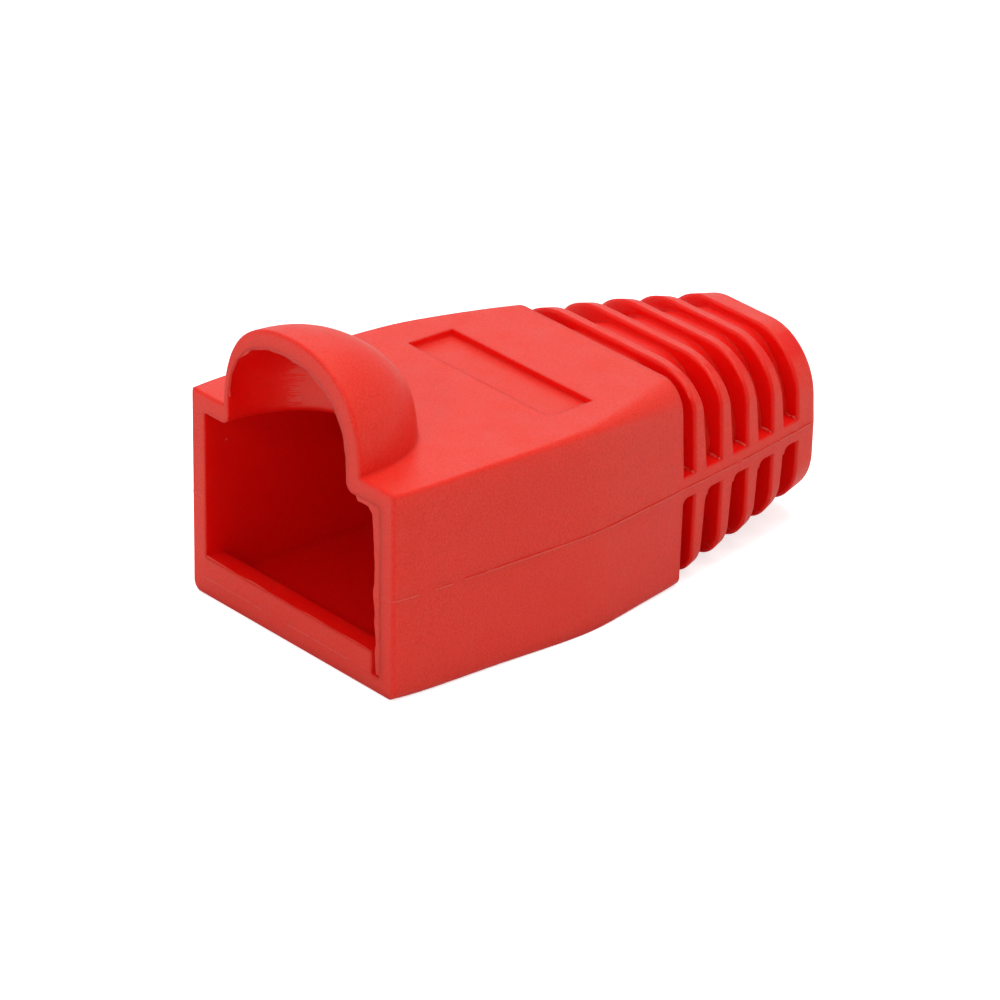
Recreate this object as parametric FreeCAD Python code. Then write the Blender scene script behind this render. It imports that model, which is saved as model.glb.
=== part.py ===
import FreeCAD, Part
import math
import os

# Slide-over boot for an RJ45 plug: one moulding in soft PVC, open at the plug end.
# Millimetres. +Y runs from the plug mouth to the cable end, +X is right, +Z is up.
# The origin is under the middle of the boot, on the flat underside it rests on.

Vector = FreeCAD.Vector
AXIS_Y = Vector(0, 1, 0)

# Plug socket: an 8P8C plug is 11.7 wide
socket_width = 12.0
socket_height = 7.90
socket_depth = 12.0
side_wall = 0.93
top_wall = 0.88
floor_wall = 0.80

# Body block round the plug
body_length = 16.60
shoulder_distance = 11.2       # from the mouth to where the sides start to close in
shoulder_half_width = 7.04
side_bulge = 0.14              # how far the long sides bow outwards
tail_root_half_width = 6.13
closing_power = 1.1            # how the sides close in behind the shoulder: 1 is straight
mouth_edge = 0.08              # chamfer round the front face
top_edge_round = 0.12          # long top edges, at the mouth
top_edge_round_rear = 1.30     # and where the tail starts
top_rounding_power = 4         # how late along the body that round grows
bottom_edge_round = 0.42       # long bottom edges, at the mouth
bottom_edge_round_middle = 0.10
bottom_edge_round_rear = 0.45

# The mould's two halves meet at the parting line
parting_height = 4.73          # above the underside
side_draft = 0.04              # slope of the sides away from the parting line

# Retention lip across the floor of the mouth
lip_rise = 1.05
lip_depth = 1.00
lip_end_gap = 0.50             # open notch between the lip and the right-hand wall

# Hood over the plug's latch
hood_half_width = 4.69
hood_rise = 4.68               # above the body's top face
hood_length = 5.45
hood_side_wall = 0.64
hood_top_wall = 0.90
hood_section_fullness = 0.97   # conic weight: 0.707 is an ellipse, more is squarer
hood_profile_fullness = 0.87
pocket_offset = -0.27          # the mould core that forms the pocket sits left of the middle
pocket_mouth_round = 0.45      # where the pocket opens through the ceiling of the socket

# Bare label recess on the top face
recess_width = 9.50
recess_length = 2.45
recess_depth = 0.30
recess_start = 10.10           # from the mouth

# Ribbed tail
first_groove_width = 0.75
rib_count = 4
rib_pitch = 1.775
rib_thickness = 0.90           # at the parting line
rib_lean = 0.055               # slope of each rib's rear face, so that ribs thin towards their edges
end_collar_length = 1.33
tail_end_half_width = 4.33
tail_side_bulge = 0.10
tail_top_fall = 0.85           # how much lower the top is at the cable end
tail_underside_rise = 0.84
tail_top_power = 1.5           # how late along the tail the top falls
tail_underside_power = 1.2     # and the underside rises
rib_top_round = (2.6, 1.45)    # corners of the first rib, along the top and down the side
end_top_round = (2.8, 2.8)     # and of the end collar
rib_bottom_round = (1.4, 1.2)
end_bottom_round = (2.3, 2.3)
rib_edge = 0.10                # chamfer round each rib
end_edge_round = 0.32
core_inset_side = 0.80         # depth of the grooves at the sides
core_inset_top = 0.36          # and at top and bottom
core_roundness = (0.70, 0.85)  # corners of the core, as shares of its half width and half height
core_stations = 5
root_overlap = 0.50            # how far the tail's forms start inside the body
web_half_height = 0.50         # solid strip along the parting line, between the grooves
slot_corner_round = 0.32       # front top corner of the grooves below the web

# Passage for the cable
bore_radius = 3.00
funnel_length = 5.00           # from the plug socket down to the cable bore

# Worked out from the above
body_half_width = socket_width / 2 + side_wall
body_height = floor_wall + socket_height + top_wall
socket_top = floor_wall + socket_height
bore_height = floor_wall + socket_height / 2
tail_length = first_groove_width + rib_count * rib_pitch + end_collar_length
total_length = body_length + tail_length
CLEAR = 1.0                    # how far cutting tools run past the faces they open
CLOSE = 0.001                  # positions nearer than this are the same


def conic(start, corner, end, weight=math.sqrt(0.5)):
    """Quarter-round edge that leaves `start` and reaches `end` along the lines to `corner`."""
    curve = Part.BezierCurve()
    curve.setPoles([start, corner, end])
    curve.setWeight(2, weight)
    return curve.toShape()


def blend(start, end, share):
    return start + (end - start) * share


def blend_pair(start, end, share):
    return tuple(blend(first, last, share) for first, last in zip(start, end))


def corner(y, half_width, face, rounding, draft=side_draft, lean=0.0):
    """Right-hand side from a level face at height `face` to the parting line, as an arc and a line.

    `rounding` is (along the face, down the side); with `lean` the points tip forward from `y`.
    """
    run, drop = rounding
    foot = blend(face, parting_height, drop / abs(face - parting_height))

    def point(z, inset=0.0):
        away = abs(z - parting_height)
        return Vector(half_width - draft * away - inset, y - lean * away, z)

    return [[point(face, run), point(face), point(foot)], [point(foot), point(parting_height)]]


def turned(segments):
    """The same segments in the opposite order and direction."""
    return [points[::-1] for points in segments[::-1]]


def outline(segments):
    """Closed outline, alike on both sides, from the segments of its right-hand side."""
    left = [[Vector(-point.x, point.y, point.z) for point in points]
            for points in turned(segments)]
    path = segments + [[segments[-1][-1], left[0][0]]] + left + [[left[-1][-1], segments[0][0]]]
    return Part.Wire([conic(*points) if len(points) == 3 else Part.makeLine(*points)
                      for points in path])


def solid_of(faces):
    shell = Part.makeShell(faces)
    shell.sewShape()
    return Part.makeSolid(Part.Shell(shell.Faces))


def form(outlines, ruled):
    """Solid through the outlines, with its level faces as true planes."""
    faces = []
    for face in Part.makeLoft(outlines, True, ruled).Faces:
        heights = [vertex.Z for vertex in face.Vertexes]
        if max(heights) - min(heights) < CLOSE:
            # Only the curves are kept: the loft's own edges would bring its surface with them
            rim = [edge.Curve.toShape(*edge.ParameterRange) for edge in face.OuterWire.OrderedEdges]
            face = Part.Face(Part.Wire(rim))
        faces.append(face)
    return solid_of(faces)


def body_outline(y, inset=0.0):
    straight = min(y / shoulder_distance, 1.0)
    closing = max(y - shoulder_distance, 0.0) / (body_length - shoulder_distance)
    half_width = blend(body_half_width, shoulder_half_width, straight)
    half_width += side_bulge * math.sin(math.pi * straight)
    half_width = blend(half_width, tail_root_half_width, closing ** closing_power)
    half_width -= inset
    draft = side_draft * (y / body_length) ** 2
    top_round = blend(top_edge_round, top_edge_round_rear, (y / body_length) ** top_rounding_power)
    bottom_round = blend(bottom_edge_round, bottom_edge_round_middle, straight)
    bottom_round = blend(bottom_round, bottom_edge_round_rear, closing)
    upper = corner(y, half_width, body_height - inset, (top_round, top_round), draft)
    lower = corner(y, half_width, inset, (bottom_round, bottom_round), draft)
    return outline(upper + turned(lower))


def body_block():
    """The block that holds the plug: straight to the shoulder, then closing in to the tail."""
    stations = [blend(mouth_edge, shoulder_distance, step / 3) for step in range(3)]
    stations += [blend(shoulder_distance, body_length, step / 3) for step in range(4)]
    rim = form([body_outline(0.0, mouth_edge), body_outline(mouth_edge)], True)
    return rim.fuse(form([body_outline(y) for y in stations], False))


def tail_shape(y, upper):
    """Half width, face height and corner rounding of the tail's outer form at `y`."""
    along = max(y - body_length, 0.0) / tail_length
    half_width = blend(tail_root_half_width, tail_end_half_width, along)
    half_width += tail_side_bulge * math.sin(math.pi * along)
    if upper:
        face = body_height - tail_top_fall * along ** tail_top_power
        return half_width, face, blend_pair(rib_top_round, end_top_round, along)
    face = tail_underside_rise * along ** tail_underside_power
    return half_width, face, blend_pair(rib_bottom_round, end_bottom_round, along)


def inwards(face, depth):
    """A face height moved towards the parting line."""
    return face - math.copysign(depth, face - parting_height)


def rib_outline(y, upper, inset, lean):
    half_width, face, rounding = tail_shape(y, upper)
    return outline(corner(y, half_width - inset, inwards(face, inset), rounding, side_draft, lean))


def rib(start, end, rear_edge, lean):
    """One rib, chamfered all round at the front and, by `rear_edge`, at the rear."""
    halves = []
    for upper in (True, False):
        outlines = [rib_outline(start, upper, rib_edge, 0.0),
                    rib_outline(start + rib_edge, upper, 0.0, 0.0),
                    rib_outline(end - rear_edge, upper, 0.0, lean)]
        if rear_edge:
            outlines.append(rib_outline(end, upper, rear_edge, lean))
        halves.append(form(outlines, True))
    return halves[0].fuse(halves[1])


def core():
    """What is left of the tail at the bottom of the grooves."""
    across, down = core_roundness
    stations = [blend(body_length - root_overlap, total_length - end_collar_length / 2,
                      step / (core_stations - 1)) for step in range(core_stations)]
    outlines = []
    for y in stations:
        sides = []
        for upper in (True, False):
            half_width, face, _ = tail_shape(y, upper)
            half_width -= core_inset_side
            face = inwards(face, core_inset_top)
            rounding = (across * half_width, down * abs(face - parting_height))
            sides.append(corner(y, half_width, face, rounding))
        outlines.append(outline(sides[0] + turned(sides[1])))
    return form(outlines, False)


def rib_start(index):
    return body_length + first_groove_width + index * rib_pitch


def web():
    """Strip along the parting line, with the rounded corners of the grooves below it."""
    bottom = parting_height - web_half_height
    deep = web_half_height + slot_corner_round
    stations = [body_length - root_overlap, body_length]
    for index in range(rib_count):
        stations += [rib_start(index) + rib_edge, rib_start(index) + rib_thickness - rib_edge]
    stations += [rib_start(rib_count) + rib_edge]
    wires = []
    for y in stations:
        half_width = tail_shape(y, True)[0]
        high = Vector(half_width - side_draft * web_half_height, y,
                      parting_height + web_half_height)
        middle = Vector(half_width, y, parting_height)
        low = Vector(half_width - side_draft * deep, y, parting_height - deep)
        wires.append(outline([[high, middle], [middle, low]]))
    strip = Part.makeLoft(wires, True, True)
    for index in range(rib_count + 1):
        rear = rib_start(index - 1) + rib_thickness - rib_lean * deep if index else body_length
        strip = strip.cut(slot(rear, rib_start(index) + rib_edge, bottom))
    return strip


def slot(start, end, top):
    """Cutting tool for a groove below the web, with its front top corner rounded."""
    reach = -2 * body_half_width
    foot = top - slot_corner_round - CLEAR
    side = Part.makeLine(Vector(reach, start, foot), Vector(reach, start, top - slot_corner_round))
    corner = conic(Vector(reach, start, top - slot_corner_round), Vector(reach, start, top),
                   Vector(reach, start + slot_corner_round, top))
    rest = Part.makePolygon([Vector(reach, start + slot_corner_round, top), Vector(reach, end, top),
                             Vector(reach, end, foot), Vector(reach, start, foot)])
    profile = Part.Face(Part.Wire([side, corner] + rest.Edges))
    return profile.extrude(Vector(-2 * reach, 0, 0))


def tail():
    pieces = [core(), web()]
    for index in range(rib_count):
        start = rib_start(index)
        pieces.append(rib(start, start + rib_thickness, rib_edge, rib_lean))
    collar = rib(rib_start(rib_count), total_length, 0.0, 0.0)
    pieces.append(collar.makeFillet(end_edge_round, rim_edges(collar, total_length)))
    return pieces


def rim_edges(solid, y):
    """Outline edges of the flat face that `solid` has at `y`."""
    return [edge for edge in solid.Edges
            if all(abs(vertex.Y - y) < CLOSE for vertex in edge.Vertexes)
            and abs(edge.CenterOfMass.y - y) < CLOSE]


def dome(half_width, rise, length, base):
    """Quarter of a squared-off ball, with its arched face on y = 0 and its flat face at `base`."""
    arch = [Vector(-half_width, 0, base), Vector(-half_width, 0, base + rise),
            Vector(0, 0, base + rise), Vector(half_width, 0, base + rise),
            Vector(half_width, 0, base)]
    plan = [Vector(-half_width, 0, base), Vector(-half_width, length, base),
            Vector(0, length, base), Vector(half_width, length, base),
            Vector(half_width, 0, base)]
    arch_weights = [1, hood_section_fullness, 1, hood_section_fullness, 1]
    run = [(1, 0), (1, length), (0, length)]
    run_weights = [1, hood_profile_fullness, 1]
    poles = [[Vector(point.x * scale, y, base + (point.z - base) * scale) for scale, y in run]
             for point in arch]
    weights = [[across * along for along in run_weights] for across in arch_weights]
    crown = Part.BSplineSurface()
    crown.buildFromPolesMultsKnots(poles, [3, 2, 3], [3, 3], [0, 1, 2], [0, 1],
                                   False, False, 2, 2, weights)
    foot = Part.makeLine(plan[4], plan[0])
    flat = Part.Face(Part.Wire([conic(*plan[0:3], hood_profile_fullness),
                                conic(*plan[2:5], hood_profile_fullness), foot]))
    front = Part.Face(Part.Wire([conic(*arch[0:3], hood_section_fullness),
                                 conic(*arch[2:5], hood_section_fullness), foot]))
    return solid_of([crown.toShape(), flat, front]), flat, front


def arched(half_width, rise, length, base, legs):
    """The dome standing on straight legs that reach down below `base`."""
    form, flat, front = dome(half_width, rise, length, base)
    return form.fuse(flat.extrude(Vector(0, 0, -legs))), front


def level_edges(solid, height, length):
    """Edges that lie at `height` round the foot of an arched form."""
    return [edge for edge in solid.Edges
            if all(abs(vertex.Z - height) < CLOSE for vertex in edge.Vertexes)
            and abs(edge.CenterOfMass.z - height) < CLOSE
            and abs(edge.CenterOfMass.x) < hood_half_width + CLOSE
            and CLOSE < edge.BoundBox.YMax < length + CLOSE]


def outer_form():
    """Body block with the hood standing on it."""
    sunk = top_wall / 2
    hood = arched(hood_half_width, hood_rise, hood_length, body_height, sunk)[0]
    hood = hood.removeSplitter()
    arch = [edge for edge in rim_edges(hood, 0.0)
            if edge.CenterOfMass.z > body_height - sunk + CLOSE]
    hood = hood.makeChamfer(mouth_edge, arch)
    return body_block().removeSplitter().fuse(hood).removeSplitter()


def funnel():
    """Rectangle-to-round transition from the plug socket into the cable bore."""
    start = socket_depth
    end = socket_depth + funnel_length
    corners = [Vector(-socket_width / 2, start, floor_wall),
               Vector(socket_width / 2, start, floor_wall),
               Vector(socket_width / 2, start, socket_top),
               Vector(-socket_width / 2, start, socket_top)]
    rectangle = Part.makePolygon(corners + corners[:1])

    def rim_point(degrees):
        angle = math.radians(degrees)
        return Vector(bore_radius * math.cos(angle), end,
                      bore_height + bore_radius * math.sin(angle))

    arcs = [Part.Arc(rim_point(turn - 45), rim_point(turn), rim_point(turn + 45)).toShape()
            for turn in (270, 360, 450, 540)]
    return Part.makeLoft([rectangle, Part.Wire(arcs)], True, False)


def pocket():
    """Room for the plug's latch under the hood, open at the mouth and down to the socket."""
    half_width = hood_half_width - hood_side_wall
    length = hood_length - hood_top_wall
    form, front = arched(half_width, hood_rise - hood_top_wall, length, body_height,
                         top_wall + CLEAR)
    form = form.fuse(front.extrude(Vector(0, -CLEAR, 0)))
    form = form.fuse(Part.makeBox(2 * half_width, CLEAR, top_wall + CLEAR,
                                  Vector(-half_width, -CLEAR, socket_top - CLEAR)))
    form.translate(Vector(pocket_offset, 0, 0))
    return form


def cavity():
    """The hollow inside: plug socket, latch pocket, funnel and cable bore."""
    socket = Part.makeBox(socket_width, socket_depth + CLEAR, socket_height,
                          Vector(-socket_width / 2, -CLEAR, floor_wall))
    hollow = socket.fuse(pocket()).removeSplitter()
    hollow = hollow.makeFillet(pocket_mouth_round, level_edges(hollow, socket_top, hood_length))
    bore_start = socket_depth + funnel_length
    bore = Part.makeCylinder(bore_radius, total_length - bore_start + CLEAR,
                             Vector(0, bore_start, bore_height), AXIS_Y)
    return hollow.fuse(funnel()).fuse(bore)


def lip():
    width = socket_width - lip_end_gap + side_wall / 2
    return Part.makeBox(width, lip_depth, lip_rise + floor_wall / 2,
                        Vector(-socket_width / 2 - side_wall / 2, 0, floor_wall / 2))


def recess():
    return Part.makeBox(recess_width, recess_length, recess_depth + CLEAR,
                        Vector(-recess_width / 2, recess_start, body_height - recess_depth))


def boot():
    shape = outer_form()
    for piece in tail():
        shape = shape.fuse(piece)
    shape = shape.cut(cavity())
    shape = shape.fuse(lip())
    shape = shape.cut(recess())
    return shape.removeSplitter()


def main():
    os.makedirs("parts", exist_ok=True)
    shape = boot()
    shape.translate(Vector(0, -total_length / 2, 0))
    shape.exportStep("parts/boot.step")
    size = shape.optimalBoundingBox()
    print(f"boot: {len(shape.Solids)} solid, valid {shape.isValid()}, {shape.Volume:.1f} mm3,"
          f" {size.XLength:.2f} x {size.YLength:.2f} x {size.ZLength:.2f} mm")


main()
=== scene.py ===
import bmesh
import bpy
import math
from mathutils import Matrix, Vector, noise


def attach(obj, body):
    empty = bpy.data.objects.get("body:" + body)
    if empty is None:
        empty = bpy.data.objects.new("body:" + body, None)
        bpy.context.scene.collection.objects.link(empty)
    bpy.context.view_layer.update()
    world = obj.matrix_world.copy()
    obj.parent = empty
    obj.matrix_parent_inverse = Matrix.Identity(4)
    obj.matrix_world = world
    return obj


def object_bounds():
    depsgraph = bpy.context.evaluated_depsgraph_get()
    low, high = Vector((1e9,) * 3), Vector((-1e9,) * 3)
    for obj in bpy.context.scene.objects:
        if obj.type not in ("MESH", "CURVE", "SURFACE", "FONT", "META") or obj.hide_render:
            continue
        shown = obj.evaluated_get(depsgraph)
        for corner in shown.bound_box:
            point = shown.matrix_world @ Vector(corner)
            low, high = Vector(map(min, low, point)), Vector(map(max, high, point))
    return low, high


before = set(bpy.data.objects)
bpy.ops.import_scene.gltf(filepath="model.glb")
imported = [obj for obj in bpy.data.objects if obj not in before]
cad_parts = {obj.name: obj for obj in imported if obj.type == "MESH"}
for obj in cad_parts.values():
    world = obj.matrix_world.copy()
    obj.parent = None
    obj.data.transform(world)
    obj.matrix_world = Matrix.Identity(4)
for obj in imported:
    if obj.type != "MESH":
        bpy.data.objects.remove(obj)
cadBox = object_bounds()
millimetre = 0.001
smoothAngle = math.radians(40)
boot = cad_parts["boot"]


def deselectAll():
    bpy.ops.object.select_all(action="DESELECT")


# Camera: a long lens from the front right, looking a little down on the boot
view = {
    "azimuth": 50.555,           # degrees round from the mouth
    "elevation": 25.517,
    "roll": 0.53,
    "aim": (0.25, -1.68, 3.61),  # mm
    "distance": 304.96,
    "lens": 254.0,
    "sensor": 36.0,
    "nearest": 0.01,             # m
    "farthest": 5.0,
}


def addCamera():
    turn = math.radians(view["azimuth"])
    tilt = math.radians(view["elevation"])
    back = Vector((math.sin(turn) * math.cos(tilt), -math.cos(turn) * math.cos(tilt), math.sin(tilt)))
    stand = Vector(view["aim"]) * millimetre + back * view["distance"] * millimetre
    lean = Matrix.Rotation(math.radians(view["roll"]), 3, "Z").to_quaternion()
    facing = back.to_track_quat("Z", "Y") @ lean
    bpy.ops.object.camera_add(location=stand, rotation=facing.to_euler())
    camera = bpy.context.object
    camera.name = "camera"
    camera.data.lens = view["lens"]
    camera.data.sensor_width = view["sensor"]
    camera.data.clip_start = view["nearest"]
    camera.data.clip_end = view["farthest"]
    bpy.context.scene.camera = camera


deselectAll()
addCamera()
print("camera placed")


# Small helpers for materials
def addNode(tree, kind, inputs, **settings):
    node = tree.nodes.new(kind)
    for name, value in settings.items():
        setattr(node, name, value)
    for name, value in inputs.items():
        if isinstance(value, bpy.types.NodeSocket):
            tree.links.new(value, node.inputs[name])
        else:
            node.inputs[name].default_value = value
    return node


def calculate(tree, operation, first, second=0.0):
    return addNode(tree, "ShaderNodeMath", {0: first, 1: second}, operation=operation).outputs[0]


def ramp(tree, value, start, end):
    # 0 at start, 1 at end, smooth between
    return addNode(tree, "ShaderNodeMapRange", {"Value": value, "From Min": start, "From Max": end},
                   interpolation_type="SMOOTHSTEP").outputs["Result"]


def band(tree, value, centre, halfWidth):
    # 1 close to the centre, 0 beyond half the width
    away = calculate(tree, "ABSOLUTE", calculate(tree, "SUBTRACT", value, centre))
    return ramp(tree, away, halfWidth, halfWidth * 0.4)


def scaled(tree, value, factor):
    return calculate(tree, "MULTIPLY", value, factor)


def allBut(tree, mask):
    return calculate(tree, "SUBTRACT", 1.0, mask)


def allOf(tree, *masks):
    result = masks[0]
    for mask in masks[1:]:
        result = calculate(tree, "MULTIPLY", result, mask)
    return result


def mixColour(tree, share, first, second):
    return addNode(tree, "ShaderNodeMix", {0: share, 6: first, 7: second}, data_type="RGBA").outputs[2]


def noiseOn(tree, vector, scale, detail=2.0, stretch=None):
    if stretch:
        vector = addNode(tree, "ShaderNodeMapping", {"Vector": vector, "Scale": stretch}).outputs[0]
    texture = addNode(tree, "ShaderNodeTexNoise", {"Vector": vector, "Scale": scale, "Detail": detail})
    return texture.outputs["Fac"]


def vectorMath(tree, operation, inputs, output):
    return addNode(tree, "ShaderNodeVectorMath", inputs, operation=operation).outputs[output]


# Pale floor and soft white light from large panels
studio = {
    "floorSize": 3.0,
    "floorColour": (0.75, 0.75, 0.75, 1),
    "floorRoughness": 0.9,
    "floorSheen": 0.1,
    "floorGlow": 0.70,        # lifts the shadow as seen, without lighting the boot
    "skyColour": (1, 1, 1, 1),
    "skyStrength": 0.50,
    "panels": [
        # name, place in m, edge in m, watts
        ("panelTop", (0.02, 0.05, 0.60), 0.40, 2.0),
        ("panelFront", (0.16, -0.48, 0.33), 0.05, 0.42),
        ("panelBack", (-0.45, 0.37, 0.28), 0.30, 0.16),
    ],
}


def addStudio():
    bpy.ops.mesh.primitive_plane_add(size=studio["floorSize"], location=(0, 0, 0))
    floor = bpy.context.object
    floor.name = "floor"
    paint = bpy.data.materials.new("paleFloor")
    paint.use_nodes = True
    tree = paint.node_tree
    shader = tree.nodes["Principled BSDF"]
    shader.inputs["Base Color"].default_value = studio["floorColour"]
    shader.inputs["Roughness"].default_value = studio["floorRoughness"]
    shader.inputs["Specular IOR Level"].default_value = studio["floorSheen"]
    shader.inputs["Emission Color"].default_value = (1, 1, 1, 1)
    seen = tree.nodes.new("ShaderNodeLightPath").outputs["Is Camera Ray"]
    tree.links.new(scaled(tree, seen, studio["floorGlow"]), shader.inputs["Emission Strength"])
    floor.data.materials.append(paint)
    sky = bpy.data.worlds.new("sky")
    sky.use_nodes = True
    background = sky.node_tree.nodes["Background"]
    background.inputs["Color"].default_value = studio["skyColour"]
    background.inputs["Strength"].default_value = studio["skyStrength"]
    bpy.context.scene.world = sky
    for name, place, edge, watts in studio["panels"]:
        aim = (-Vector(place)).to_track_quat("-Z", "Y").to_euler()
        bpy.ops.object.light_add(type="AREA", location=place, rotation=aim)
        panel = bpy.context.object
        panel.name = name
        panel.data.shape = "SQUARE"
        panel.data.size = edge
        panel.data.energy = watts
    bpy.context.scene.view_settings.view_transform = "Standard"


deselectAll()
addStudio()
print("studio lit")

# Soft PVC, coloured through. Lengths in mm unless said otherwise.
pvc = {
    "colour": (0.85, 0.0015, 0.0008, 1),
    "paintedSheenColour": (0.85, 0.024, 0.014, 1),   # painted sheen: the studio's whitish reflection painted on the outer faces
    # painted sheen made whiter in random patches and on the grain of the surface
    "patchySheenColour": (0.88, 0.060, 0.042, 1),
    "mottleSize": 1.4,
    "patchySheen": 0.20,
    "paleColour": (0.90, 0.42, 0.36, 1),      # where the plastic is scuffed white or dusty; also the parting line's painted highlight
    "deepColour": (0.50, 0.0008, 0.0005, 1),
    "sheen": 0.45,
    "sheenTint": (1, 0.92, 0.66, 1),
    "glow": 0.8,                              # share of light that spreads inside
    "glowReach": (1.0, 0.04, 0.03),
    "glowScale": 0.0010,                      # m
    "roughness": (0.36, 0.50),
    "grainSize": 0.10,
    "grainHeight": 0.018,
    # the surface's own grain, whitened there as painted sheen
    "grainySheen": 0.45,
    "grainDepth": 0.25,
    "mottleHeight": 0.01,
    "bumpStrength": 0.8,
    "edgeRadius": 0.00016,                    # m
    "sheenFreeEdgeRadius": 0.00035,                  # m; rounded edges and corners within this get no painted sheen, as painted shade
    "innerCentre": (0.0, -10.0, 8.9),         # faces that look towards here get no painted sheen
}
tail = {
    "start": 3.71,
    "length": 9.18,
    "top": 9.58,
    "fall": 0.85,                             # how much lower its end is
    "power": 1.5,
    "grooveDepth": (0.20, 0.30),              # deeper than this counts as a groove's bottom, painted as shaded
    "grooveSides": (5.0, 4.4),
    "roughness": (0.29, 0.38),
    "glossFront": (4.2, 4.3),                 # the first two ribs come glossy from the mould
    "glossBack": (7.3, 11.5),
    "glossSides": (2.4, 4.8),
    "glossFoot": (8.08, 8.32),                # lowest part of the glossy rib corners
}
dust = {
    "spacing": 1.1,
    "size": 0.035,
    "rarity": (0.84, 0.86),
    "strength": 0.30,
    "spot": (-6.0, -11.74, 7.12),             # one larger speck on the socket's left wall
    "spotSize": 0.07,
}
partingLine = {
    "height": 4.77,
    "wander": 0.03,
    "wanderScale": 1.1,
    "halfWidth": 0.045,
    # painted shade in the parting step and in the crease by the mouth flash
    "colour": (0.86, 0.012, 0.0008, 1),
    "strength": 0.9,
    "frontStrength": 0.35,                    # on faces that look forwards
    "depth": 0.004,
    "calm": 0.75,                             # share of the sheen that it loses
    "edgeDrop": 1.6,                          # painted highlight on the edge below it, in half widths
    "highlightStrength": 0.16,
    "edgeHeight": 0.010,
    "bodySide": (6.15, 6.25),                 # further out than this it shows
    "tailSide": (3.5, 3.6),
    "tailFrom": (-0.6, -0.5),
    "breakScale": 2.4,
    "breaks": (0.34, 0.40),
    "gaps": [(-11.18, 0.39), (-9.50, 0.30)],  # middle and half length
    "gapFade": 0.05,
    "full": (-9.30, -9.10),                   # nearer to the mouth the line is paler
    "pale": 0.3,
}
lipLine = {
    "height": 0.86,
    "left": (-6.4, -5.8),
    "right": (5.3, 4.9),
    "breakScale": 0.9,
    "breaks": (0.36, 0.48),
    "strength": 0.10,
    "rise": 0.008,
}
# painted shade beside the mouth flash, with a shallow groove in the relief
crease = {
    "place": 6.04,
    "halfWidth": 0.06,
    "bottom": (0.85, 1.0),
    "top": (8.6, 8.3),
    "strength": 0.9,
    "depth": 0.006,
}
scuff = {
    "front": (-10.15, -9.80),
    "back": (-8.3, -8.6),
    "bottom": (8.9, 9.2),
    "top": (11.8, 10.9),
    "strength": 0.13,
    "stretch": (1.6, 1.3, 13.0),
    "raggedness": 3.0,
}


def addPlaces(tree):
    # what all the masks below are worked out from
    coords = tree.nodes.new("ShaderNodeTexCoord")
    inMm = vectorMath(tree, "SCALE", {0: coords.outputs["Object"], "Scale": 1000.0}, 0)
    x, y, z = addNode(tree, "ShaderNodeSeparateXYZ", {0: inMm}).outputs
    facing = addNode(tree, "ShaderNodeSeparateXYZ", {0: coords.outputs["Normal"]}).outputs
    shift = calculate(tree, "SUBTRACT", noiseOn(tree, inMm, partingLine["wanderScale"]), 0.5)
    wander = scaled(tree, shift, partingLine["wander"] * 2)
    return {
        "inMm": inMm,
        "normal": coords.outputs["Normal"],
        "x": x,
        "y": y,
        "z": z,
        "across": calculate(tree, "ABSOLUTE", x),
        "facing": facing,
        "sideways": ramp(tree, calculate(tree, "ABSOLUTE", facing[0]), 0.5, 0.8),
        "forwards": ramp(tree, facing[1], -0.7, -0.9),
        "grain": noiseOn(tree, inMm, 1 / pvc["grainSize"], 3.0),
        "mottle": noiseOn(tree, inMm, 1 / pvc["mottleSize"], 4.0),
        "wander": wander,
        "rise": calculate(tree, "SUBTRACT", z, wander),
    }


def addGrooveShadeMask(tree, at):
    # bottoms of the grooves across the top of the tail, left without painted sheen as painted shade
    behind = calculate(tree, "MAXIMUM", calculate(tree, "SUBTRACT", at["y"], tail["start"]), 0.0)
    along = calculate(tree, "DIVIDE", behind, tail["length"])
    fall = scaled(tree, calculate(tree, "POWER", along, tail["power"]), tail["fall"])
    skin = calculate(tree, "SUBTRACT", tail["top"], fall)
    depth = calculate(tree, "SUBTRACT", skin, at["z"])
    return allOf(tree, ramp(tree, at["y"], tail["start"], tail["start"] + 0.02),
                 ramp(tree, at["facing"][2], 0.5, 0.7),
                 ramp(tree, depth, *tail["grooveDepth"]),
                 ramp(tree, at["across"], *tail["grooveSides"]))


def addPaintedSheenMask(tree, at, solid):
    # painted sheen on the outer faces; hollows, groove bottoms and edges are left without it, which paints
    # them as shaded deep red
    outwards = vectorMath(tree, "SUBTRACT", {0: at["inMm"], 1: pvc["innerCentre"]}, 0)
    outer = vectorMath(tree, "DOT_PRODUCT", {0: outwards, 1: at["normal"]}, "Value")
    sheenMask = allOf(tree, ramp(tree, outer, -0.3, 0.3), allBut(tree, addGrooveShadeMask(tree, at)))
    if solid:
        # rounded edges and corners lose the painted sheen, as painted shade
        rounded = addNode(tree, "ShaderNodeBevel", {"Radius": pvc["sheenFreeEdgeRadius"]}, samples=4).outputs[0]
        plain = tree.nodes.new("ShaderNodeNewGeometry").outputs["Normal"]
        agree = vectorMath(tree, "DOT_PRODUCT", {0: rounded, 1: plain}, "Value")
        sheenMask = allOf(tree, sheenMask, ramp(tree, agree, 0.86, 0.995))
    return sheenMask


def addDustMask(tree, at):
    cells = addNode(tree, "ShaderNodeTexVoronoi", {"Vector": at["inMm"], "Scale": 1 / dust["spacing"]})
    chance = addNode(tree, "ShaderNodeSeparateColor", {0: cells.outputs["Color"]}).outputs[0]
    specks = allOf(tree, ramp(tree, cells.outputs["Distance"], dust["size"], dust["size"] * 0.4),
                   ramp(tree, chance, *dust["rarity"]))
    away = vectorMath(tree, "DISTANCE", {0: at["inMm"], 1: dust["spot"]}, "Value")
    return calculate(tree, "MAXIMUM", specks,
                     ramp(tree, away, dust["spotSize"], dust["spotSize"] * 0.5))


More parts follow.
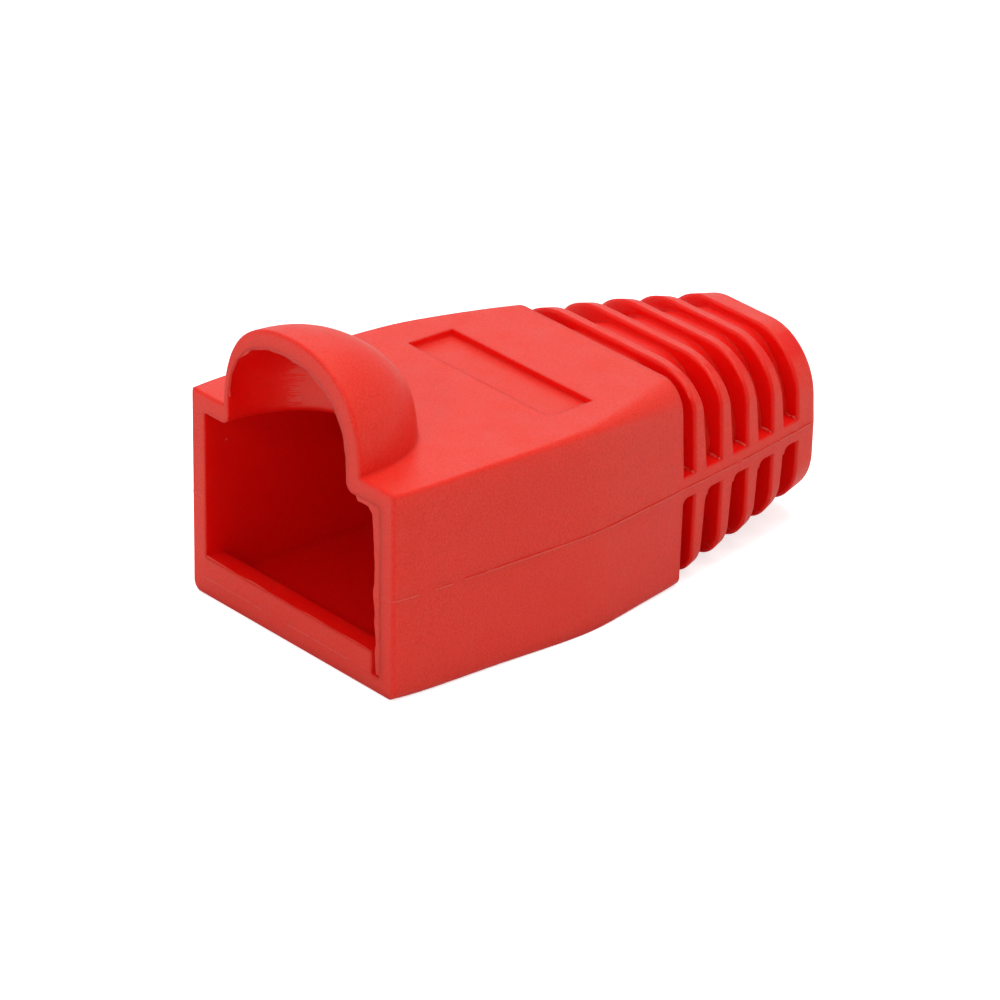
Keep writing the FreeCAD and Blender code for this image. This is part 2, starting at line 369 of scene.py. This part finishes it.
def addPartingMasks(tree, at):
    # a step painted dark as shade, with a painted highlight on the edge under it, broken here and there,
    # on the outside only
    y = at["y"]
    sides = ramp(tree, at["across"], *partingLine["bodySide"])
    tailSides = allOf(tree, ramp(tree, y, *partingLine["tailFrom"]),
                      ramp(tree, at["across"], *partingLine["tailSide"]))
    strength = calculate(tree, "MAXIMUM", at["sideways"],
                         scaled(tree, at["forwards"], partingLine["frontStrength"]))
    breaks = noiseOn(tree, at["inMm"], partingLine["breakScale"])
    strength = allOf(tree, strength, ramp(tree, breaks, *partingLine["breaks"]),
                     calculate(tree, "MAXIMUM", sides, tailSides))
    fade = partingLine["gapFade"]
    for middle, half in partingLine["gaps"]:
        start, end = middle - half, middle + half
        gap = allOf(tree, ramp(tree, y, start - fade, start + fade), ramp(tree, y, end + fade, end - fade))
        strength = allOf(tree, strength, allBut(tree, gap))
    faded = calculate(tree, "MAXIMUM", ramp(tree, y, *partingLine["full"]), partingLine["pale"])
    height, half = partingLine["height"], partingLine["halfWidth"]
    stepShade = allOf(tree, strength, faded, band(tree, at["rise"], height, half))
    edgeHighlight = allOf(tree, strength, band(tree, at["rise"], height - partingLine["edgeDrop"] * half, half))
    return stepShade, edgeHighlight


def addLipLineMask(tree, at):
    # faint line where two parts of the mould met, low on the front of the lip
    breaks = noiseOn(tree, at["inMm"], lipLine["breakScale"])
    return allOf(tree, at["forwards"], ramp(tree, at["x"], *lipLine["right"]),
                 ramp(tree, at["x"], *lipLine["left"]),
                 band(tree, at["rise"], lipLine["height"], partingLine["halfWidth"]),
                 ramp(tree, breaks, *lipLine["breaks"]))


def addCreaseShadeMask(tree, at):
    # painted shade in the gap beside the flash at the right of the mouth
    place = calculate(tree, "ADD", at["x"], scaled(tree, at["wander"], 1.2))
    return allOf(tree, at["forwards"], ramp(tree, at["z"], *crease["bottom"]),
                 ramp(tree, at["z"], *crease["top"]),
                 band(tree, place, crease["place"], crease["halfWidth"]))


def addScuffMask(tree, at):
    # rear wall of the latch pocket, with a streaky front border
    streaks = noiseOn(tree, at["inMm"], 1.0, 5.0, stretch=scuff["stretch"])
    shift = scaled(tree, calculate(tree, "SUBTRACT", streaks, 0.5), scuff["raggedness"])
    border = calculate(tree, "ADD", at["y"], shift)
    return allOf(tree, ramp(tree, at["facing"][1], -0.15, -0.40),
                 ramp(tree, at["z"], *scuff["bottom"]), ramp(tree, at["z"], *scuff["top"]),
                 ramp(tree, border, *scuff["front"]), ramp(tree, at["y"], *scuff["back"]))


def addRoughness(tree, at):
    low, high = pvc["roughness"]
    body = addNode(tree, "ShaderNodeMapRange", {"Value": at["mottle"], "From Min": 0.3, "From Max": 0.7,
                                                "To Min": low, "To Max": high}).outputs["Result"]
    low, high = tail["roughness"]
    front, back = tail["glossBack"]
    ribs = addNode(tree, "ShaderNodeMapRange", {"Value": at["y"], "From Min": front, "From Max": back,
                                                "To Min": low, "To Max": high}).outputs["Result"]
    glossy = allOf(tree, ramp(tree, at["y"], *tail["glossFront"]),
                   ramp(tree, at["across"], *tail["glossSides"]),
                   ramp(tree, at["z"], *tail["glossFoot"]))
    return addNode(tree, "ShaderNodeMix", {0: glossy, 2: body, 3: ribs}).outputs[0]


def makePvc(name, solid):
    material = bpy.data.materials.new(name)
    material.use_nodes = True
    tree = material.node_tree
    shader = tree.nodes["Principled BSDF"]
    shader.inputs["Specular Tint"].default_value = pvc["sheenTint"]
    if solid:
        shader.inputs["Subsurface Weight"].default_value = pvc["glow"]
        shader.inputs["Subsurface Radius"].default_value = pvc["glowReach"]
        shader.inputs["Subsurface Scale"].default_value = pvc["glowScale"]

    at = addPlaces(tree)
    grain = at["grain"]
    sheenMask = addPaintedSheenMask(tree, at, solid)
    partingStepShade, partingEdgeHighlight = addPartingMasks(tree, at)
    lip = addLipLineMask(tree, at)
    creaseShade = addCreaseShadeMask(tree, at)

    # colours laid over each other: mask, strength, colour
    layers = [
        # painted sheen on the outer faces, then whiter in random patches and along the grain
        (sheenMask, None, pvc["paintedSheenColour"]),
        (allOf(tree, sheenMask, ramp(tree, at["mottle"], 0.35, 0.70)), pvc["patchySheen"], pvc["patchySheenColour"]),
        (allOf(tree, sheenMask, ramp(tree, grain, 0.46, 0.70)), pvc["grainySheen"], pvc["patchySheenColour"]),
        (ramp(tree, grain, 0.50, 0.30), pvc["grainDepth"], pvc["deepColour"]),
        (addDustMask(tree, at), dust["strength"], pvc["paleColour"]),
        # the parting line's step painted dark as shade, with a painted highlight on its lower edge
        (partingStepShade, partingLine["strength"], partingLine["colour"]),
        (partingEdgeHighlight, partingLine["highlightStrength"], pvc["paleColour"]),
        (lip, lipLine["strength"], pvc["paleColour"]),
        # painted shade in the gap beside the mouth flash
        (creaseShade, crease["strength"], partingLine["colour"]),
        (addScuffMask(tree, at), scuff["strength"], pvc["paleColour"]),
    ]
    colour = pvc["colour"]
    for mask, strength, tint in layers:
        share = mask if strength is None else scaled(tree, mask, strength)
        colour = mixColour(tree, share, colour, tint)
    tree.links.new(colour, shader.inputs["Base Color"])

    calm = allBut(tree, scaled(tree, partingStepShade, partingLine["calm"]))
    tree.links.new(scaled(tree, calm, pvc["sheen"]), shader.inputs["Specular IOR Level"])
    tree.links.new(addRoughness(tree, at), shader.inputs["Roughness"])

    # relief in mm: mask and height
    height = scaled(tree, grain, pvc["grainHeight"])
    for mask, lift in ((at["mottle"], pvc["mottleHeight"]), (partingStepShade, -partingLine["depth"]),
                       (partingEdgeHighlight, partingLine["edgeHeight"]), (lip, lipLine["rise"]),
                       (creaseShade, -crease["depth"])):
        height = calculate(tree, "ADD", height, scaled(tree, mask, lift))
    bump = addNode(tree, "ShaderNodeBump", {"Strength": pvc["bumpStrength"], "Distance": millimetre,
                                            "Height": height})
    if solid:
        bevel = addNode(tree, "ShaderNodeBevel", {"Radius": pvc["edgeRadius"]}, samples=4)
        tree.links.new(bevel.outputs["Normal"], bump.inputs["Normal"])
    tree.links.new(bump.outputs["Normal"], shader.inputs["Normal"])
    return material


softPvc = makePvc("softPvc", True)
flashPvc = makePvc("flashPvc", False)
boot.data.materials.clear()
boot.data.materials.append(softPvc)
print("boot finished")


# Small helpers for modelling
def keepVertices(piece, wanted):
    net = bmesh.from_edit_mesh(piece.data)
    net.verts.ensure_lookup_table()
    for face in net.faces:
        face.select = False
    for edge in net.edges:
        edge.select = False
    for vertex in net.verts:
        vertex.select = False
    for index in wanted:
        net.verts[index].select = True
    net.select_flush(True)
    return net


def moveVertex(piece, index, point):
    net = keepVertices(piece, [index])
    shift = Vector(point) * millimetre - net.verts[index].co
    bpy.ops.transform.translate(value=shift)


def applyModifier(piece, kind, **settings):
    bpy.ops.object.modifier_add(type=kind)
    modifier = piece.modifiers[-1]
    for name, value in settings.items():
        setattr(modifier, name, value)
    bpy.ops.object.modifier_apply(modifier=modifier.name)


def makeRibbon(name, rows, thickness):
    # a strip whose edge is pulled from each pair of points to the next, then thickened
    deselectAll()
    bpy.ops.mesh.primitive_plane_add(size=millimetre, location=(0, 0, 0))
    piece = bpy.context.object
    piece.name = name
    bpy.ops.object.mode_set(mode="EDIT")
    bpy.ops.mesh.select_mode(type="VERT")
    for index, point in enumerate(rows[0] + rows[1]):
        moveVertex(piece, index, point)
    pair = [2, 3]
    for row in rows[2:]:
        net = keepVertices(piece, pair)
        old = net.verts[pair[0]].co.copy()
        bpy.ops.mesh.extrude_edges_move()
        net = bmesh.from_edit_mesh(piece.data)
        net.verts.ensure_lookup_table()
        pair = [len(net.verts) - 2, len(net.verts) - 1]
        if (net.verts[pair[0]].co - old).length > (net.verts[pair[1]].co - old).length:
            pair.reverse()
        moveVertex(piece, pair[0], row[0])
        moveVertex(piece, pair[1], row[1])
    bpy.ops.object.mode_set(mode="OBJECT")
    applyModifier(piece, "SOLIDIFY", thickness=thickness * millimetre, offset=0.0)
    return piece


def finishPiece(piece, material):
    deselectAll()
    piece.select_set(True)
    bpy.context.view_layer.objects.active = piece
    bpy.ops.object.mode_set(mode="EDIT")
    bpy.ops.mesh.select_all(action="SELECT")
    bpy.ops.mesh.normals_make_consistent(inside=False)
    bpy.ops.object.mode_set(mode="OBJECT")
    bpy.ops.object.shade_smooth_by_angle(angle=smoothAngle)
    piece.data.materials.clear()
    piece.data.materials.append(material)
    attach(piece, "root")


def joinPieces(pieces, name):
    deselectAll()
    for piece in pieces:
        piece.select_set(True)
    bpy.context.view_layer.objects.active = pieces[0]
    bpy.ops.object.join()
    joined = bpy.context.object
    joined.name = name
    return joined


def waver(position, size, seed):
    # even wandering between -size and size
    return 2 * size * noise.noise(Vector((position, seed, 0.5)))


def reach(start, direction):
    # where a straight line first meets the boot, in mm
    place = boot.ray_cast(Vector(start) * millimetre, Vector(direction))[1]
    return place / millimetre


frontPlane = cadBox[0][1] / millimetre
# the plug socket that the flash grows into, in mm
socket = {
    "right": 6.0,
    "lipTop": 1.85,
    "ceiling": 8.70,
}

# Flash along the right of the mouth, where the mould core wore
mouthFlash = {
    "innerEdge": 5.60,
    "raggedness": 0.09,
    "waves": (0.9, 3.1),    # slow and quick, per mm
    "quickShare": 0.4,
    "bottom": 0.86,
    "cornerTop": 7.85,
    "cornerTip": (5.47, 8.22),
    "ledgeHeight": 8.48,
    "ledgeStart": 5.20,
    "ledgeEnd": 4.35,
    "ledgeRaggedness": 0.04,
    "endDrop": 0.03,
    "bite": 0.06,           # how far it reaches into the wall
    "thickness": 0.10,
    "setBack": 0.10,        # its middle, behind the front face
    "step": 0.35,
}


def addMouthFlash():
    settings = mouthFlash
    y = frontPlane + settings["setBack"]
    outer = socket["right"] + settings["bite"]
    roof = socket["ceiling"] + settings["bite"]
    slow, quick = settings["waves"]
    rows = []
    z = settings["bottom"]
    while z < settings["cornerTop"]:
        inner = settings["innerEdge"] + waver(z * slow, settings["raggedness"], 3.0)
        inner += waver(z * quick, settings["raggedness"] * settings["quickShare"], 8.0)
        rows.append([(inner, y, z), (outer, y, z)])
        z += settings["step"]
    tipX, tipZ = settings["cornerTip"]
    rows.append([(tipX, y, tipZ), (outer, y, roof)])
    x = settings["ledgeStart"]
    while x > settings["ledgeEnd"]:
        low = settings["ledgeHeight"] + waver(x * 2.0, settings["ledgeRaggedness"], 5.0)
        rows.append([(x, y, low), (x, y, roof)])
        x -= settings["step"]
    x = settings["ledgeEnd"]
    rows.append([(x, y, socket["ceiling"] - settings["endDrop"]), (x, y, roof)])
    finishPiece(makeRibbon("mouthFlash", rows, settings["thickness"]), flashPvc)


addMouthFlash()
print("mouth flash modelled")

# Parting-line bead along both sides, in broken runs
partingBead = {
    "height": 4.68,
    "width": 0.08,
    "proud": 0.018,
    "thickness": 0.05,
    "wander": 0.02,
    "inside": 0.002,         # stays this far within the boot's widest place
    "step": 0.30,
    "runs": [(-12.86, -12.42), (-12.30, -11.57), (-10.79, -9.80), (-9.20, -3.35),
             (-3.10, 3.60), (3.85, 12.52)],
}


def addPartingBead():
    settings = partingBead
    widest = cadBox[1][0] / millimetre
    for side, name in ((1, "partingBeadRight"), (-1, "partingBeadLeft")):
        runs = []
        for start, end in settings["runs"]:
            steps = max(2, round((end - start) / settings["step"]))
            rows = []
            for index in range(steps + 1):
                y = start + (end - start) * index / steps
                middle = settings["height"] + waver(y * 1.3, settings["wander"], side)
                wall = reach((side * 2 * widest, y, middle), (-side, 0, 0))[0] * side
                crest = min(wall + settings["proud"], widest - settings["inside"])
                x = side * (crest - settings["thickness"] / 2)
                half = settings["width"] / 2
                rows.append([(x, y, middle - half), (x, y, middle + half)])
            runs.append(makeRibbon("run", rows, settings["thickness"]))
        finishPiece(joinPieces(runs, name), flashPvc)


addPartingBead()
print("parting bead modelled")

# Ragged flash round the mouth of the latch pocket
pocketFlash = {
    "centre": (-0.27, 9.6),
    "from": 3,               # degrees from the right-hand side
    "to": 177,
    "step": 5,
    "reach": 0.05,
    "raggedness": 0.05,
    "waves": (0.13, 0.41),   # slow and quick, per degree
    "quickShare": 0.5,
    "bite": 0.05,
    "thickness": 0.06,
    "setBack": 0.05,
    "probeDepth": 0.1,       # the wall is looked for this far behind the flash
}


def addPocketFlash():
    settings = pocketFlash
    y = frontPlane + settings["setBack"]
    x, z = settings["centre"]
    slow, quick = settings["waves"]
    rows = []
    for degrees in range(settings["from"], settings["to"] + 1, settings["step"]):
        turn = math.radians(degrees)
        outwards = Vector((math.cos(turn), 0, math.sin(turn)))
        wall = reach((x, y + settings["probeDepth"], z), outwards)
        out = settings["reach"] + waver(degrees * slow, settings["raggedness"], 2.0)
        out += waver(degrees * quick, settings["raggedness"] * settings["quickShare"], 6.0)
        free = wall - outwards * out
        sunk = wall + outwards * settings["bite"]
        rows.append([(free.x, y, free.z), (sunk.x, y, sunk.z)])
    finishPiece(makeRibbon("pocketFlash", rows, settings["thickness"]), flashPvc)


addPocketFlash()
print("pocket flash modelled")

# Uneven crest along the front of the retention lip
lipFlash = {
    "from": -5.98,
    "to": 5.45,
    "step": 0.55,
    "rise": 0.05,
    "raggedness": 0.04,
    "bite": 0.05,
    "thickness": 0.08,
    "setBack": 0.06,
}


def addLipFlash():
    settings = lipFlash
    y = frontPlane + settings["setBack"]
    rows = []
    length = settings["to"] - settings["from"]
    steps = round(length / settings["step"])
    for index in range(steps + 1):
        x = settings["from"] + length * index / steps
        top = socket["lipTop"] + settings["rise"] + waver(x * 0.8, settings["raggedness"], 4.0)
        rows.append([(x, y, socket["lipTop"] - settings["bite"]), (x, y, top)])
    finishPiece(makeRibbon("lipFlash", rows, settings["thickness"]), flashPvc)


addLipFlash()
print("lip flash modelled")

# Painted highlight: thin pale strips where each upper groove's shelf meets the rib behind it, standing for
# the light caught along that corner
shelfHighlightStrip = {
    "shelf": 5.23,
    "height": 0.07,
    "bite": 0.03,
    "thickness": 0.05,
    "depth": 0.74,
    "inset": 0.04,
    "ribFronts": [4.46, 6.235, 8.01, 9.785, 11.56],
    "setBack": 0.03,
    "raggedness": 0.03,
    "steps": 5,
}
# colour of the painted highlight, in cloudy patches
shelfGlint = {
    "colour": (0.88, 0.22, 0.17, 1),
    "cloudScale": 6000.0,    # per m
    "roughness": 0.30,
}


def makeShelfGlintPvc():
    material = bpy.data.materials.new("shelfGlintPvc")
    material.use_nodes = True
    tree = material.node_tree
    shader = tree.nodes["Principled BSDF"]
    coords = tree.nodes.new("ShaderNodeTexCoord")
    clouds = noiseOn(tree, coords.outputs["Object"], shelfGlint["cloudScale"])
    colour = mixColour(tree, ramp(tree, clouds, 0.35, 0.6), pvc["colour"], shelfGlint["colour"])
    tree.links.new(colour, shader.inputs["Base Color"])
    shader.inputs["Roughness"].default_value = shelfGlint["roughness"]
    return material


def addShelfHighlightStrips():
    settings = shelfHighlightStrip
    shelfGlintPvc = makeShelfGlintPvc()
    # pale strips painted as highlight on both sides
    for side, name in ((1, "shelfHighlightStripsRight"), (-1, "shelfHighlightStripsLeft")):
        pieces = []
        for order, front in enumerate(settings["ribFronts"]):
            y = front - settings["setBack"]
            probe = (side * 20, front + 0.3, settings["shelf"] + 0.1)
            wall = reach(probe, (-side, 0, 0))[0] * side
            rows = []
            for index in range(settings["steps"] + 1):
                x = wall - settings["inset"] - settings["depth"] * index / settings["steps"]
                top = settings["shelf"] + settings["height"]
                top += waver(x * 6, settings["raggedness"], order + side)
                rows.append([(side * x, y, settings["shelf"] - settings["bite"]), (side * x, y, top)])
            pieces.append(makeRibbon("shelfGlint", rows, settings["thickness"]))
        finishPiece(joinPieces(pieces, name), shelfGlintPvc)


addShelfHighlightStrips()
print("shelf slivers modelled")
